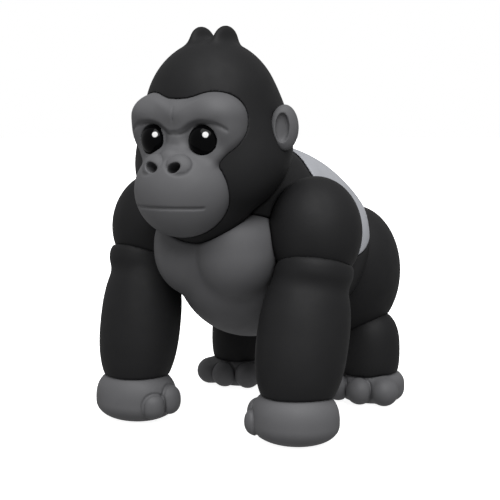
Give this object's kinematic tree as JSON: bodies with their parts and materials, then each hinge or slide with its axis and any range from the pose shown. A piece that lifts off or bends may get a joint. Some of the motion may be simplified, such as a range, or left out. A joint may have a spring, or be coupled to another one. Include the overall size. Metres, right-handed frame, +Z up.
{
  "type": "toy gorilla figure",
  "caption": "Moulded toy gorilla standing on its hands and feet, with a big domed head, bare grey face, long thick arms, round belly and silver saddle on its back.",
  "frame": {"origin": "middle of the figure's footprint box, on the floor under the hands and feet", "axes": "+Z up, -Y the way the gorilla faces, +X towards its left side"},
  "size_m": [0.0724, 0.088, 0.1031],
  "materials": {
    "black_vinyl": "soft matt",
    "grey_vinyl": "soft matt",
    "silver_vinyl": "soft matt",
    "eye_gloss": "high gloss"
  },
  "bodies": {
    "root": {"head": "black_vinyl", "face": "grey_vinyl", "eye_left": "eye_gloss", "eye_right": "eye_gloss", "ear_left": "grey_vinyl", "ear_right": "grey_vinyl", "torso": "black_vinyl", "chest": "grey_vinyl", "saddle": "silver_vinyl", "upper_arm_left": "black_vinyl", "upper_arm_right": "black_vinyl", "forearm_left": "black_vinyl", "forearm_right": "black_vinyl", "hand_left": "grey_vinyl", "hand_right": "grey_vinyl", "thigh_left": "black_vinyl", "thigh_right": "black_vinyl", "shin_left": "black_vinyl", "shin_right": "black_vinyl", "foot_left": "grey_vinyl", "foot_right": "grey_vinyl"}
  },
  "joints": []
}
